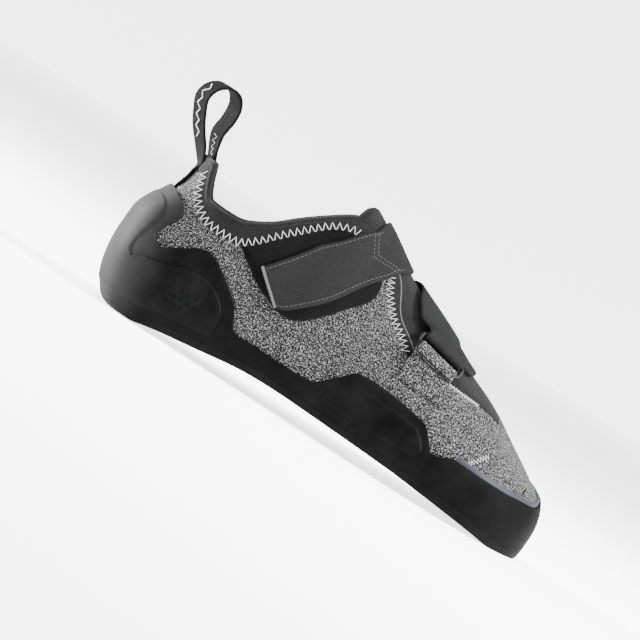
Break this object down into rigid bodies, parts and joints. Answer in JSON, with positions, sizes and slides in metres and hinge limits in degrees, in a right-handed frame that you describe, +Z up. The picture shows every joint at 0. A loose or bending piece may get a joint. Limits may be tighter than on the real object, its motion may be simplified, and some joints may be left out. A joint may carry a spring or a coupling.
{
  "type": "climbing shoe",
  "caption": "Low climbing shoe with a knit upper, rubber sole, heel cup and toe rand, stretch tongue, folded strap through wire rings and a heel pull loop.",
  "frame": {"origin": "centre of the heel's flat spot, on the floor", "axes": "+X towards the toe, +Y towards the inner side of the foot, +Z up"},
  "size_m": [0.275, 0.0966, 0.1304],
  "materials": {
    "binding": "ribbed dark grey stretch binding with off-white zigzag thread",
    "knit": "mottled grey knit of light and dark yarn",
    "lining": "grey felt sock lining",
    "loop_fleece": "brushed black loop fleece",
    "ring": "satin black coated wire",
    "rubber": "matt black climbing rubber, fine grain, lightly dusty on the heel",
    "stretch_knit": "dark stretch knit",
    "tape": "black woven tape",
    "webbing": "charcoal woven webbing"
  },
  "bodies": {
    "root": {"outsole": "rubber", "insole": "lining", "upper": "knit", "collar_binding": "binding", "throat_tape_outer": "binding", "throat_tape_inner": "binding", "tongue": "stretch_knit", "heel_cup": "rubber", "heel_shell": "rubber", "arch_band_outer": "rubber", "arch_band_inner": "rubber", "side_pad_outer": "rubber", "side_pad_inner": "rubber", "toe_rand": "rubber", "pull_loop": "tape", "loop_patch": "loop_fleece", "strap": "webbing", "ring_outer": "ring", "ring_inner": "ring", "ring_tab_outer": "knit", "ring_tab_inner": "knit"}
  },
  "joints": []
}
